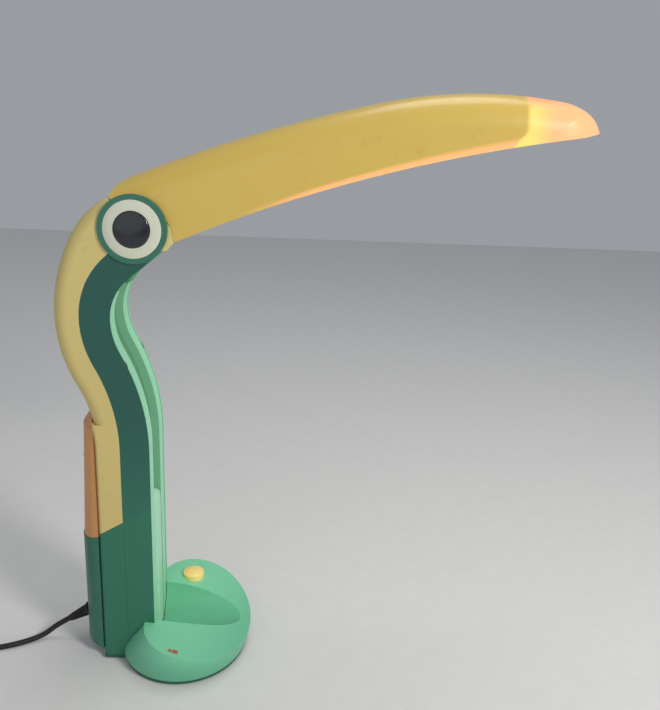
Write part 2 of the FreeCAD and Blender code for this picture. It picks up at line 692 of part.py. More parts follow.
def nose_plan(inset):
    """Everything behind the rounded nose: plan outlines with an oval end, which draws back with height."""
    half = BEAK_HALF - inset
    outlines = []
    for z, tip in NOSE_TIPS:
        reach = tip - inset
        start = reach - NOSE_PLAN + inset
        oval = Part.Ellipse(V(reach, 0, 0), V(start, half, 0), V(start, 0, 0))
        arc = Part.ArcOfEllipse(oval, -pi / 2, pi / 2).toShape()
        a, b = arc.valueAt(arc.FirstParameter), arc.valueAt(arc.LastParameter)
        heel_b, heel_a = V(-60, b.y, 0), V(-60, a.y, 0)
        wire = Part.Wire([arc, line(b, heel_b), line(heel_b, heel_a), line(heel_a, a)])
        wire.translate(V(0, 0, z - inset))
        outlines.append(wire)
    solid = Part.makeLoft(outlines, True, False)
    solid = solid.fuse(Part.Face(outlines[0]).extrude(V(0, 0, -150)))
    solid.translate(V(PIVOT_X, 0, PIVOT_Z))
    return solid


def beak_profile(inset=0.0, open_rim=0.0):
    """Side view of the shade; open_rim lowers the rim so that a hollow cuts right through it."""
    i = inset
    return outline(
        head(RIM_HEEL[0], RIM_HEEL[1] - open_rim),
        (*head(RIM_MIDDLE[0], RIM_MIDDLE[1] - open_rim), *head(RIM_TIP[0] - i, RIM_TIP[1] - open_rim)),
        head(NOSE_END[0] + 5, NOSE_END[1] + 1 - open_rim),
        head(NOSE_END[0] + 5, 160),
        head(CREST_HEEL[0] - 2, 160),
        head(CREST_HEEL[0] + i, CREST_HEEL[1]),
        (*head(-14.0 + i, 33.0), *head(-19.5 + i, 25.5)),
        head(-17.5 + i, 20.0),
        head(-4, 24),
        head(20, 15),
        head(29.3, 2.0),
    )


def beak_shade():
    outer = slab(beak_profile(), -BEAK_HALF, BEAK_HALF).common(vault(0)).common(nose_plan(0))
    half = BEAK_HALF - BEAK_WALL
    inner = slab(beak_profile(BEAK_WALL, 30.0), -half, half)
    inner = inner.common(vault(BEAK_WALL)).common(nose_plan(BEAK_WALL))
    shade = outer.cut(inner)
    root = rod(BRACKET_R + 0.2, V(PIVOT_X, -40, PIVOT_Z), UP_Y, 80)
    return shade.cut([root, hinge_bracket(), reflector_screws()]).removeSplitter()


def hinge_bracket():
    """Root of the beak: two round plates on the bolt, joined by a web that carries the lamp holder."""
    tongue = outline(head(0, -20), head(25.5, -16.4), head(31.1, -10), head(29.1, 2), head(25, 6), head(0, 8))
    plates = []
    for y0, y1 in ((-BEAK_HALF, -BEAK_HALF + 3), (BEAK_HALF - 3, BEAK_HALF)):
        plates.append(rod(BRACKET_R, V(PIVOT_X, y0, PIVOT_Z), UP_Y, y1 - y0).fuse(slab(tongue, y0, y1)))
    web = slab(outline(head(14, -14), head(26, -10), head(26, 22), head(22, 22), head(14, 4)), -26, 26)
    knuckle = rod(7, V(PIVOT_X, -27, PIVOT_Z), UP_Y, 54)
    arm = slab(outline(head(0, -6), head(16, -8), head(16, 2), head(0, 6)), -26, 26)
    body = plates[0].fuse([plates[1], web, knuckle, arm])
    return body.cut(rod(BOLT_R + 0.05, V(PIVOT_X, -50, PIVOT_Z), UP_Y, 100)).removeSplitter()


LAMP_A, LAMP_B = (64.0, 36.0), (300.0, 90.0)  # axis of the fluorescent lamp, from the pivot
LAMP_TILT = degrees(atan2(LAMP_B[1] - LAMP_A[1], LAMP_B[0] - LAMP_A[0]))
LAMP_LENGTH = hypot(LAMP_B[0] - LAMP_A[0], LAMP_B[1] - LAMP_A[1])


def on_lamp(shape):
    """Place a shape that was drawn along +X from the origin on the lamp's axis."""
    shape.rotate(V(0, 0, 0), UP_Y, -LAMP_TILT)
    x, z = head(*LAMP_A)
    shape.translate(V(x, 0, z))
    return shape


def fluorescent_tube():
    """Two parallel glass limbs with round ends, joined by a short bridge near the far end."""
    limbs = []
    for y in (-8.0, 8.0):
        limb = rod(6.2, V(24, y, 0), -DOWN_X, LAMP_LENGTH - 30)
        limbs.append(limb.fuse(Part.makeSphere(6.2, V(LAMP_LENGTH - 6, y, 0))))
    bridge = rod(3.2, V(LAMP_LENGTH - 16, -8, 0), UP_Y, 16)
    glass = limbs[0].fuse([limbs[1], bridge]).removeSplitter()
    return on_lamp(glass.cut([rod(5.2, V(23, y, 0), -DOWN_X, LAMP_LENGTH - 30) for y in (-8.0, 8.0)]))


def tube_cap():
    body = box(2, 24, -16, 16, -8.2, 8.2)
    body = body.makeFillet(3, [e for e in body.Edges if abs(e.BoundBox.XLength - 22) < 1e-3])
    return on_lamp(body.fuse(box(-10, 2, -5, 5, -4, 4)).removeSplitter())


def lamp_holder():
    body = box(-13, 2, -18, 18, -9.5, 9.5).cut(box(-10, 3, -5, 5, -4, 4))
    foot = box(-42, -13, -12, 12, -9.5, -3.5)
    return on_lamp(body.fuse(foot).removeSplitter()).cut(hinge_bracket())


def tube_clip():
    """Spring clip that holds the far end of the lamp under the reflector."""
    clip = box(LAMP_LENGTH - 34, LAMP_LENGTH - 28, -16, 16, -7.4, 10)
    hollow = rod(6.3, V(LAMP_LENGTH - 40, -8, 0), -DOWN_X, 20)
    clip = clip.cut([hollow, mirrored(hollow), box(LAMP_LENGTH - 40, LAMP_LENGTH - 20, -20, 20, -9, -4)])
    clip = clip.cut(box(LAMP_LENGTH - 40, LAMP_LENGTH - 20, -8, 8, -9, 5))
    stem = box(LAMP_LENGTH - 34, LAMP_LENGTH - 28, -4, 4, 7, 27)
    return on_lamp(clip.fuse(stem).removeSplitter()).cut(slab(beak_profile(), -40, 40).cut(vault(4.8)))


def crest_height(x):
    """Height of the crest above the pivot at x."""
    (cx, cz), r = (CREST_C1, CREST_R1) if x < CREST_JOIN[0] else (CREST_C2, CREST_R2)
    return cz + sqrt(r * r - (x - cx) ** 2)


def reflector_screws():
    screws = []
    for x in (70.0, 285.0):
        px, pz = head(x, crest_height(x) - 6.2)
        screws += [screw(1.3, 2.6, 1.2, V(px, y, pz), UP_Z, 5.2) for y in (-4.0, 4.0)]
    return Part.makeCompound(screws)


def reflector():
    """Bright metal trough above the lamp, under the shade's crest."""
    def core(inset, half):
        x0, x1 = 38.0 + inset, REFLECTOR_END - inset
        wire = outline(
            head(x0, 16 + x0 * 0.14 - 30 * (inset > 0)),
            head(x1, 81 - 30 * (inset > 0)),
            head(x1, 160),
            head(x0, 160),
        )
        return slab(wire, -half, half).common(vault(4.0 + inset))
    trough = core(0, BEAK_HALF - 4).cut(core(0.8, BEAK_HALF - 4.8)).removeSplitter()
    return trough.cut([reflector_screws(), on_lamp(box(-30, 24, -18.5, 18.5, -20, 12))])


# --- mains lead ---------------------------------------------------------------------------------------
def cord_boot():
    """Tapered strain relief with a neck that sits in the cover's hole and a flange outside it."""
    axis = boot_axis()
    neck = rod(4.2, BOOT_ROOT - axis * 4, axis, 5.0)
    span = (BOOT_TIP - BOOT_ROOT).Length
    cone = Part.makeCone(5.6, 3.3, span - 1.0, BOOT_ROOT + axis * 1.0, axis)
    flange = rod(6.4, BOOT_ROOT, axis, 1.8)
    return neck.fuse([cone, flange]).removeSplitter()


def cord_coil():
    """Outer shape of the turns of the put-away lead."""
    r, h = COIL_MIDDLE, COIL_HALF
    outer = rod(r + h, V(COIL_X, COIL_Y, 0), UP_Z, 2 * h)
    ring = outer.cut(rod(r - h, V(COIL_X, COIL_Y, -1), UP_Z, 2 * h + 2))
    return ring.makeFillet(2.4, [e for e in ring.Edges if e.BoundBox.ZLength < 1e-3])


def plug_body():
    """Flat two-pin plug that narrows to a ribbed boot round the lead."""
    x, y, z = PLUG_X, PLUG_Y, PLUG_Z
    low, high = z - 5.4, z + 7.6
    plan = [(-5, 6), (5, 6), (17.5, 20), (17.5, 42), (-17.5, 42), (-17.5, 20)]
    points = [V(x + a, y + b, low) for a, b in plan]
    wire = Part.Wire([line(p, q) for p, q in zip(points, points[1:] + points[:1])])
    body = Part.Face(wire).extrude(V(0, 0, high - low))
    rims = [e for e in body.Edges if e.BoundBox.ZLength < 1e-3 and e.BoundBox.YMax < y + 41]
    body = body.makeFillet(2.2, rims)
    boot = Part.makeCone(3.4, 4.6, 12, V(x, y, z), UP_Y)
    return body.fuse(boot).removeSplitter()


def plug_pins():
    pins = []
    for side in (-9.0, 9.0):
        pin = rod(2.0, V(PLUG_X + side, PLUG_Y + 42, PLUG_Z + 1), UP_Y, 17)
        pins.append(pin.fuse(Part.makeSphere(2.0, V(PLUG_X + side, PLUG_Y + 59, PLUG_Z + 1))))
    return Part.makeCompound(pins)


# --- build --------------------------------------------------------------------------------------------
def build():
    os.makedirs("parts", exist_ok=True)
    turns = CORD_LENGTH / (2 * pi * COIL_MIDDLE)
    print(f"{turns:.1f} turns of radius {COIL_MIDDLE} mm would hold the whole lead")
    near = neck_shell()
    coil = cord_coil()
    route, tail = tube(CORD_ROUTE, CORD_R, "cord"), tube(TAIL_ROUTE, CORD_R, "cord tail")
    pieces = {
        "neck_shell_near": near,
        "neck_shell_far": neck_shell_far(near),
        "neck_screws": neck_screws(),
        "channel_liner": channel_liner(),
        "groove_cover": groove_cover(),
        "rear_cover_lower": rear_lower(),
        "rear_cover_upper": rear_upper(),
        "rear_cover_screws": cover_screws(),
        "choke_core": choke_core(),
        "choke_coil": choke_coil(),
        "choke_bracket": choke_bracket(),
        "terminal_block": terminal_block(),
        "terminal_screws": terminal_screws(),
        "neck_wires": neck_wires(),
        "wire_clip": wire_clip(),
        "eye_white_near": eye_white(),
        "eye_white_far": mirrored(eye_white()),
        "eye_pupil_near": eye_pupil(),
        "eye_pupil_far": mirrored(eye_pupil()),
        "pivot_bolt": pivot_bolt(),
        "pivot_nut": pivot_nut(),
        "friction_washers": friction_washers(),
        "base_shell": base_shell(),
        "base_plate": base_plate(),
        "base_screws": plate_screws(),
        "base_weight": base_weight(),
        "lobe_weight": lobe_weight(),
        "foot_pad": foot_pad(),
        "switch_body": switch_body(),
        "button_spring": button_spring(),
        "power_button": button(),
        "beak_shade": beak_shade(),
        "hinge_bracket": hinge_bracket(),
        "reflector": reflector(),
        "reflector_screws": reflector_screws(),
        "lamp_holder": lamp_holder(),
        "tube_cap": tube_cap(),
        "fluorescent_tube": fluorescent_tube(),
        "tube_clip": tube_clip(),
        "cord_boot": cord_boot(),
        "cord": route.cut([coil, cord_boot()]),
        "cord_coil": coil,
        "cord_tail": tail.cut([coil, plug_body()]),
        "plug_body": plug_body(),
        "plug_pins": plug_pins(),
    }
    for name, shape in pieces.items():
        save(name, shape)


build()
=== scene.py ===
from math import cos, hypot, pi, radians, sin

import bmesh
import bpy
from mathutils import Matrix, Vector


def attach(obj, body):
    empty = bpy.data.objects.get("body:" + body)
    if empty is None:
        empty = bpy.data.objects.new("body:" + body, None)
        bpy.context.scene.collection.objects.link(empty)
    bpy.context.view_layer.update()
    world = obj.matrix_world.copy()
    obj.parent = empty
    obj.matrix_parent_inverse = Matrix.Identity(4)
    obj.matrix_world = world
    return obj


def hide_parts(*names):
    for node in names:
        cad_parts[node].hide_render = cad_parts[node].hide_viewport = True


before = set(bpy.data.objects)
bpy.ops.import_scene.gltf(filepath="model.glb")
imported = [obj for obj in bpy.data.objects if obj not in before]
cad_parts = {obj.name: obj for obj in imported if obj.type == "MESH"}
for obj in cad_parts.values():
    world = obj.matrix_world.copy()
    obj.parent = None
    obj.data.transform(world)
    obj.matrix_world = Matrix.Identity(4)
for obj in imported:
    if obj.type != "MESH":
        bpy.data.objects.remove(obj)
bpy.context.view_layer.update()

# Folding desk lamp. Lengths are in metres, except those of the paints, which are in millimetres, and those of
# the coil, the tie, the boot's profile and the plug's profile, which are in millimetres and scaled by MM.
MM = 0.001
BODY = "lamp_body"
SCENE = bpy.context.scene


# --- camera, lights and floor ---------------------------------------------------------------------------
CAMERA_PLACE = (0.1074, -0.6242, 0.469)
SENSOR, LENS = 36.0, 38.03
TURN, TILT, ROLL = -2.0, 73.9, 2.3  # degrees: heading, tilt up from straight down, roll
FLOOR_HALF = 3.0
SKY, SKY_STRENGTH = (0.80, 0.84, 0.90, 1), 0.40


def add_camera():
    data = bpy.data.cameras.new("camera")
    data.sensor_width, data.lens = SENSOR, LENS
    camera = bpy.data.objects.new("camera", data)
    SCENE.collection.objects.link(camera)
    turn = Matrix.Rotation(radians(TURN), 4, "Z")
    tilt = Matrix.Rotation(radians(TILT), 4, "X")
    roll = Matrix.Rotation(radians(ROLL), 4, "Z")
    camera.matrix_world = Matrix.Translation(CAMERA_PLACE) @ turn @ tilt @ roll
    SCENE.camera = camera


def add_area(name, place, target, size, power, colour):
    data = bpy.data.lights.new(name, "AREA")
    data.shape, data.size, data.energy, data.color = "DISK", size, power, colour
    lamp = bpy.data.objects.new(name, data)
    SCENE.collection.objects.link(lamp)
    lamp.location = place
    lamp.rotation_euler = (Vector(target) - Vector(place)).to_track_quat("-Z", "Y").to_euler()


def linear(colour):
    """0 to 255 display values to linear RGBA."""
    parts = [c / 255.0 for c in colour]
    return (*[c / 12.92 if c <= 0.04045 else ((c + 0.055) / 1.055) ** 2.4 for c in parts], 1.0)


def add_stage():
    SCENE.view_settings.view_transform = "Standard"
    world = bpy.data.worlds.new("studio")
    SCENE.world = world
    world.use_nodes = True
    background = world.node_tree.nodes["Background"]
    background.inputs["Color"].default_value = SKY
    background.inputs["Strength"].default_value = SKY_STRENGTH
    mesh = bpy.data.meshes.new("floor")
    corners = [(x * FLOOR_HALF, y * FLOOR_HALF, 0) for x, y in ((-1, -1), (1, -1), (1, 1), (-1, 1))]
    mesh.from_pydata(corners, [], [(0, 1, 2, 3)])
    floor = bpy.data.objects.new("floor", mesh)
    SCENE.collection.objects.link(floor)
    paint = Paint("floor_paper")
    grain = paint.noise(0.02, 3)
    paint.put("Base Color", paint.mix(grain, (226, 225, 223), (233, 232, 230)))
    paint.put("Roughness", 0.85)
    mesh.materials.append(paint.material)
    add_area("key", (1.05, -0.95, 1.0), (0.05, 0, 0.25), 0.40, 12.5, (1.0, 0.97, 0.93))
    add_area("fill", (-0.5, -1.5, 0.7), (0, 0, 0.25), 1.4, 2.0, (0.92, 0.96, 1.0))
    add_area("top", (0.3, 0.3, 1.7), (0, 0, 0.1), 0.8, 5, (1.0, 0.98, 0.95))


# --- materials ------------------------------------------------------------------------------------------
class Paint:
    """One material's nodes. Positions x, y, z are in millimetres in the part's frame at rest."""

    def __init__(self, name):
        self.material = bpy.data.materials.new(name)
        self.material.use_nodes = True
        self.tree = self.material.node_tree
        self.shader = self.tree.nodes["Principled BSDF"]
        self.place = self.tree.nodes.new("ShaderNodeTexCoord").outputs["Object"]
        split = self.tree.nodes.new("ShaderNodeSeparateXYZ")
        self.tree.links.new(self.place, split.inputs[0])
        self.x, self.y, self.z = [self.calc("MULTIPLY", axis, 1000.0) for axis in split.outputs]

    def feed(self, socket, value):
        if isinstance(value, bpy.types.NodeSocket):
            self.tree.links.new(value, socket)
        elif isinstance(value, tuple) and len(value) == 3:
            socket.default_value = linear(value)
        else:
            socket.default_value = value

    def put(self, name, value):
        self.feed(self.shader.inputs[name], value)

    def calc(self, operation, *values):
        node = self.tree.nodes.new("ShaderNodeMath")
        node.operation = operation
        for socket, value in zip(node.inputs, values):
            self.feed(socket, value)
        return node.outputs[0]

    def step(self, value, low, high):
        """0 below low, 1 above high, smooth between. A high under low makes it fall."""
        node = self.tree.nodes.new("ShaderNodeMapRange")
        node.interpolation_type = "SMOOTHSTEP"
        flip = high < low
        ends = (high, low, 1.0, 0.0) if flip else (low, high, 0.0, 1.0)
        self.feed(node.inputs[0], value)
        for socket, number in zip(list(node.inputs)[1:5], ends):
            socket.default_value = number
        return node.outputs[0]

    def mix(self, factor, a, b, kind="MIX"):
        node = self.tree.nodes.new("ShaderNodeMix")
        node.data_type, node.blend_type = "RGBA", kind
        self.feed(node.inputs[0], factor)
        self.feed(node.inputs[6], a)
        self.feed(node.inputs[7], b)
        return node.outputs[2]

    def noise(self, size, detail=4.0, rough=0.5, stretch=(1, 1, 1)):
        """Noise with grains of about that size in metres."""
        mapping = self.tree.nodes.new("ShaderNodeMapping")
        mapping.inputs["Scale"].default_value = stretch
        self.tree.links.new(self.place, mapping.inputs[0])
        node = self.tree.nodes.new("ShaderNodeTexNoise")
        self.tree.links.new(mapping.outputs[0], node.inputs["Vector"])
        node.inputs["Scale"].default_value = 1.0 / size
        node.inputs["Detail"].default_value = detail
        node.inputs["Roughness"].default_value = rough
        return node.outputs[0]

    def length(self, a, b):
        squares = [self.calc("MULTIPLY", value, value) for value in (a, b)]
        return self.calc("SQRT", self.calc("ADD", *squares))

    def radius(self, cx, cz):
        """Distance from the line (cx, cz) that runs across the lamp."""
        return self.length(self.calc("SUBTRACT", self.x, cx), self.calc("SUBTRACT", self.z, cz))

    def bump(self, height, strength, distance):
        node = self.tree.nodes.new("ShaderNodeBump")
        node.inputs["Strength"].default_value = strength
        node.inputs["Distance"].default_value = distance
        self.tree.links.new(height, node.inputs["Height"])
        self.tree.links.new(node.outputs[0], self.shader.inputs["Normal"])

    def moulded(self, colour, rough=0.36, mottle=0.06, relief=0.12, coat=0.0):
        """Satin moulded plastic: faint clouding, fine orange peel, scuffs that change the gloss."""
        clouds = self.noise(0.030, 3)
        grime = self.step(self.noise(0.012, 6, 0.65), 0.58, 0.74)
        dark = self.mix(self.calc("MULTIPLY", grime, mottle * 2.0), colour, (70, 62, 50))
        shade = self.mix(self.calc("MULTIPLY", clouds, mottle), dark, (255, 255, 255), "SOFT_LIGHT")
        self.put("Base Color", shade)
        scuff = self.step(self.noise(0.006, 5, 0.6, (1, 1, 0.35)), 0.50, 0.78)
        self.put("Roughness", self.calc("ADD", self.calc("MULTIPLY", scuff, 0.16), rough))
        self.bump(self.noise(0.0011, 2), relief, 0.0002)
        self.shader.inputs["Coat Weight"].default_value = coat
        self.shader.inputs["Coat Roughness"].default_value = 0.12
        return shade


# the neck's front edge in side view: a straight stretch, then three arcs as centre x, centre z and radius
NECK_FRONT = -22.0
LOWER_ARC = (-204.0, 208.0, 182.0)
HOLLOW_ARC = (11.5, 322.0, 61.8)
UPPER_ARC = (-7.3, 322.0, 43.0)
LOWER_END = 281.5  # height where the lower arc meets the hollow one
PIVOT = (-30.0, 395.0)
CHEEK_R = 27.65  # the ring's green ends here
YELLOW_INSET = 25.0  # the green band of the side panel is this wide
YELLOW_SLOPE, YELLOW_FOOT = 13.3 / 22.7, 167.35  # the yellow ends at the line z = slope * x + foot


def neck_inset(paint):
    """How far a point lies behind the neck's front edge, in mm."""
    straight = paint.calc("SUBTRACT", NECK_FRONT, paint.x)
    lower = paint.calc("SUBTRACT", LOWER_ARC[2], paint.radius(*LOWER_ARC[:2]))
    hollow = paint.calc("SUBTRACT", paint.radius(*HOLLOW_ARC[:2]), HOLLOW_ARC[2])
    upper = paint.calc("SUBTRACT", paint.radius(*UPPER_ARC[:2]), UPPER_ARC[2])

    def choose(height, below, above):
        pick = paint.calc("GREATER_THAN", paint.z, height)
        keep = paint.calc("SUBTRACT", 1.0, pick)
        return paint.calc("ADD", paint.calc("MULTIPLY", pick, above), paint.calc("MULTIPLY", keep, below))

    low = choose(LOWER_END, choose(LOWER_ARC[1], straight, lower), hollow)
    return choose(UPPER_ARC[1], low, upper)


def neck_paint():
    """Side panels: dark green in front, pale yellow behind, green below, a green ring round the eye."""
    paint = Paint("neck_paint")
    inset = neck_inset(paint)
    side = paint.calc("ABSOLUTE", paint.y)
    wobble = paint.calc("MULTIPLY", paint.calc("SUBTRACT", paint.noise(0.006, 2), 0.5), 0.35)
    band = paint.step(paint.calc("ADD", inset, wobble), YELLOW_INSET - 0.2, YELLOW_INSET + 0.2)
    green = paint.mix(paint.step(paint.z, 100.0, 260.0), (38, 110, 88), (31, 88, 76))
    yellow = paint.mix(paint.step(paint.z, 150.0, 330.0), (212, 190, 118), (216, 196, 124))
    upper = paint.mix(band, green, yellow)
    above = paint.calc("SUBTRACT", paint.z, paint.calc("MULTIPLY", paint.x, YELLOW_SLOPE))
    foot = paint.step(above, YELLOW_FOOT - 0.25, YELLOW_FOOT + 0.25)
    outside = paint.mix(foot, (40, 112, 88), upper)
    front_edge = paint.calc("MULTIPLY", paint.step(inset, 0.9, 0.4), paint.step(side, 31.9, 31.7))
    colour = paint.mix(front_edge, outside, (150, 222, 182))
    inner = paint.calc("MULTIPLY", paint.step(side, 29.9, 29.7), paint.step(inset, 30.0, 24.0))
    colour = paint.mix(inner, colour, (120, 190, 150))
    off_seam = paint.calc("ABSOLUTE", paint.calc("ADD", paint.x, 46.0))
    seam = paint.calc("MULTIPLY", paint.step(off_seam, 0.45, 0.15), paint.step(paint.z, 138.0, 132.0))
    colour = paint.mix(paint.calc("MULTIPLY", seam, 0.45), colour, (18, 60, 48))
    ring = paint.step(paint.radius(*PIVOT), CHEEK_R + 0.15, CHEEK_R - 0.15)
    colour = paint.mix(ring, colour, (52, 112, 92))
    specks = paint.step(paint.noise(0.0022, 3, 0.7), 0.76, 0.80)
    colour = paint.mix(paint.calc("MULTIPLY", specks, 0.35), colour, (205, 205, 180))
    paint.moulded(colour, 0.38, 0.05, 0.10)
    return paint.material


def plain(name, colour, **look):
    paint = Paint(name)
    paint.moulded(colour, **look)
    return paint.material


def metal(name, colour, rough, brushed=(1, 1, 12)):
    paint = Paint(name)
    grain = paint.noise(0.004, 6, 0.6, brushed)
    paint.put("Base Color", paint.mix(grain, colour, tuple(int(c * 0.72) for c in colour)))
    paint.put("Metallic", 1.0)
    paint.put("Roughness", paint.calc("ADD", paint.calc("MULTIPLY", grain, 0.22), rough))
    paint.bump(grain, 0.12, 0.0002)
    return paint.material


GROOVE_HALF = 15.0


def liner_paint():
    """Pale ledges beside a darker groove, whose darker green is partly its own colour and partly painted
    shade of the recess.
    """
    paint = Paint("liner_paint")
    side = paint.calc("ABSOLUTE", paint.y)
    groove = paint.step(side, GROOVE_HALF + 0.2, GROOVE_HALF - 0.2)
    colour = paint.mix(groove, (158, 226, 188), (98, 152, 114))
    paint.moulded(colour, 0.40, 0.06, 0.10)
    return paint.material


CHIP_Y, CHIP_STRETCH = -64.0, 0.42  # the chip is on the near rim, and longer along it than across


def base_paint():
    """Pale green lacquer, with painted light: lighter above, where the lamp's light falls. Specks and a chip
    down to the red primer.
    """
    paint = Paint("base_paint")
    # painted light: the top is lighter than the sides
    top = paint.step(paint.z, 12.0, 40.0)
    colour = paint.mix(top, (104, 186, 148), (128, 214, 170))
    chip_noise = paint.calc("MULTIPLY", paint.calc("SUBTRACT", paint.noise(0.004, 4, 0.6), 0.5), 9.0)
    along = paint.calc("MULTIPLY", paint.x, CHIP_STRETCH)
    reach = paint.length(along, paint.calc("SUBTRACT", paint.y, CHIP_Y))
    chip = paint.step(paint.calc("ADD", reach, chip_noise), 2.4, 1.6)
    colour = paint.mix(chip, colour, (176, 92, 74))
    specks = paint.step(paint.noise(0.0026, 3, 0.7), 0.765, 0.80)
    colour = paint.mix(paint.calc("MULTIPLY", specks, 0.55), colour, (90, 70, 55))
    paint.moulded(colour, 0.34, 0.05, 0.10)
    return paint.material


def rim_circle(a, b, c):
    """Centre and radius of the circle through three points of the side view."""
    ax, az, bx, bz, cx, cz = *a, *b, *c
    d = 2 * (ax * (bz - cz) + bx * (cz - az) + cx * (az - bz))
    sa, sb, sc = ax * ax + az * az, bx * bx + bz * bz, cx * cx + cz * cz
    x = (sa * (bz - cz) + sb * (cz - az) + sc * (az - bz)) / d
    z = (sa * (cx - bx) + sb * (ax - cx) + sc * (bx - ax)) / d
    return x, z, hypot(ax - x, az - z)


RIM = ((1.3, 385.2), (160.0, 442.5), (320.0, 477.0))  # the shade's lower rim in side view
TIP_GLOW = (271.0, 276.0)  # the tip's light starts between these places along X
TIP_GLOW_FADE = (273.0, 298.0)  # and the painted glow turns from yellow to orange between these
RIM_GLOW = (45.0, 120.0)  # the rim's light starts between these


def beak_paint():
    """Yellow shade. Where no reflector is, at its tip and along its rim, the tube's light through it is
    painted light: emission and an orange base colour.
    """
    paint = Paint("beak_paint")
    cx, cz, r = rim_circle(*RIM)
    rise = paint.calc("ABSOLUTE", paint.calc("SUBTRACT", r, paint.radius(cx, cz)))
    ragged = paint.calc("MULTIPLY", paint.calc("SUBTRACT", paint.noise(0.02, 2), 0.5), 3.0)
    bow = paint.calc("MULTIPLY", paint.step(rise, 12.0, 0.0), 9.0)
    tip = paint.step(paint.calc("ADD", paint.calc("ADD", paint.x, ragged), bow), *TIP_GLOW)
    reach = paint.calc("ADD", paint.calc("MULTIPLY", paint.x, 0.018), 3.2)
    low = paint.step(paint.calc("DIVIDE", rise, reach), 1.0, 0.25)
    rim = paint.calc("MULTIPLY", low, paint.step(paint.x, *RIM_GLOW))
    lit = paint.calc("MAXIMUM", tip, rim)
    worn = paint.step(paint.noise(0.0028, 3, 0.7), 0.765, 0.80)
    yellow = paint.mix(paint.calc("MULTIPLY", worn, 0.3), (216, 184, 88), (150, 120, 60))
    # painted light: the base colour turns orange where the tube's light shows through
    paint.moulded(paint.mix(lit, yellow, (214, 156, 106)), 0.33, 0.05, 0.08, 0.25)
    # painted light: the glow fades from yellow to orange away from the tube, and is painted darker and redder
    # towards the crest
    glow_fade = paint.step(paint.x, *TIP_GLOW_FADE)
    crest = paint.step(rise, 24.0, 33.0)
    tip_glow = paint.mix(glow_fade, (188, 190, 70), (184, 138, 96))
    tip_glow = paint.mix(paint.calc("MULTIPLY", crest, 0.8), tip_glow, (176, 84, 50))
    glow = paint.mix(rim, (0, 0, 0), (190, 136, 82))
    paint.put("Emission Color", paint.mix(tip, glow, tip_glow))
    paint.put("Emission Strength", 1.0)
    return paint.material


def glowing(name, colour, light, strength):
    paint = Paint(name)
    paint.moulded(colour, 0.15, 0.02, 0.02)
    paint.put("Emission Color", light)
    paint.put("Emission Strength", strength)
    return paint.material


def dress():
    """Give the CAD nodes their materials. Returns the lead's rubber."""
    neck, liner, base, beak = neck_paint(), liner_paint(), base_paint(), beak_paint()
    cream = plain("cream_trim", (214, 217, 196), rough=0.22, mottle=0.03, relief=0.04, coat=0.4)
    pupil = plain("pupil_paint", (16, 20, 30), rough=0.16, mottle=0.03, relief=0.03, coat=0.6)
    steel = metal("zinc_steel", (188, 190, 194), 0.28)
    brass = metal("brass", (206, 172, 100), 0.26)
    black = plain("black_plastic", (34, 34, 34), rough=0.5)
    white = plain("white_plastic", (222, 221, 214), rough=0.42)
    rubber = plain("dark_rubber", (30, 28, 27), rough=0.62, relief=0.25)
    looks = {
        "neck_shell_near": neck,
        "neck_shell_far": neck,
        "neck_screws": steel,
        "channel_liner": liner,
        "groove_cover": plain("cover_green", (168, 228, 192), rough=0.32, coat=0.2),
        "rear_cover_lower": plain("rear_green", (42, 112, 90), rough=0.40),
        "rear_cover_upper": plain("rear_orange", (214, 150, 92), rough=0.42),
        "rear_cover_screws": steel,
        "choke_core": metal("laminations", (92, 92, 96), 0.42, (1, 1, 40)),
        "choke_coil": plain("winding", (150, 82, 38), rough=0.3, relief=0.5),
        "choke_bracket": steel,
        "terminal_block": white,
        "terminal_screws": brass,
        "neck_wires": black,
        "wire_clip": white,
        "eye_white_near": cream,
        "eye_white_far": cream,
        "eye_pupil_near": pupil,
        "eye_pupil_far": pupil,
        "pivot_bolt": steel,
        "pivot_nut": steel,
        "friction_washers": white,
        "base_shell": base,
        "base_plate": plain("plate_green", (34, 92, 74), rough=0.5),
        "base_screws": steel,
        "base_weight": metal("weight_steel", (120, 118, 114), 0.45),
        "lobe_weight": plain("cast_block", (60, 60, 62), rough=0.7, relief=0.6),
        "foot_pad": rubber,
        "switch_body": black,
        "button_spring": steel,
        # painted light: the button cap glows faintly, though there is no lamp in it
        "power_button": glowing("button_cap", (255, 228, 140), (255, 176, 70), 0.08),
        "beak_shade": beak,
        "hinge_bracket": plain("bracket_cream", (226, 212, 140), rough=0.34),
        "reflector": metal("bright_aluminium", (226, 228, 232), 0.12),
        "reflector_screws": steel,
        "lamp_holder": white,
        "tube_cap": white,
        "fluorescent_tube": glowing("lamp_glass", (250, 250, 240), (255, 244, 214), 2.2),
        "tube_clip": white,
        "cord_boot": rubber,
        "plug_body": rubber,
        "plug_pins": metal("nickel_pins", (200, 192, 170), 0.2),
    }
    for name, material in looks.items():
        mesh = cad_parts[name].data
        mesh.materials.clear()
        mesh.materials.append(material)
    return rubber


# --- mains lead -----------------------------------------------------------------------------------------
CORD_D = 0.005
EXIT = (-0.1086, 0, 0.020)
ROUTE = [
    EXIT,
    (-0.1207, -0.0005, 0.0130),
    (-0.1320, -0.0050, 0.0045),
    (-0.1460, -0.0130, 0.0025),
    (-0.1650, -0.0220, 0.0025),
    (-0.1900, -0.0280, 0.0025),
    (-0.2120, -0.0310, 0.0025),
    (-0.2320, -0.0335, 0.0025),
]
COIL_X, COIL_Y = -0.252, 0.0
COIL_START, COIL_STEP = -75.0, 22.5  # degrees
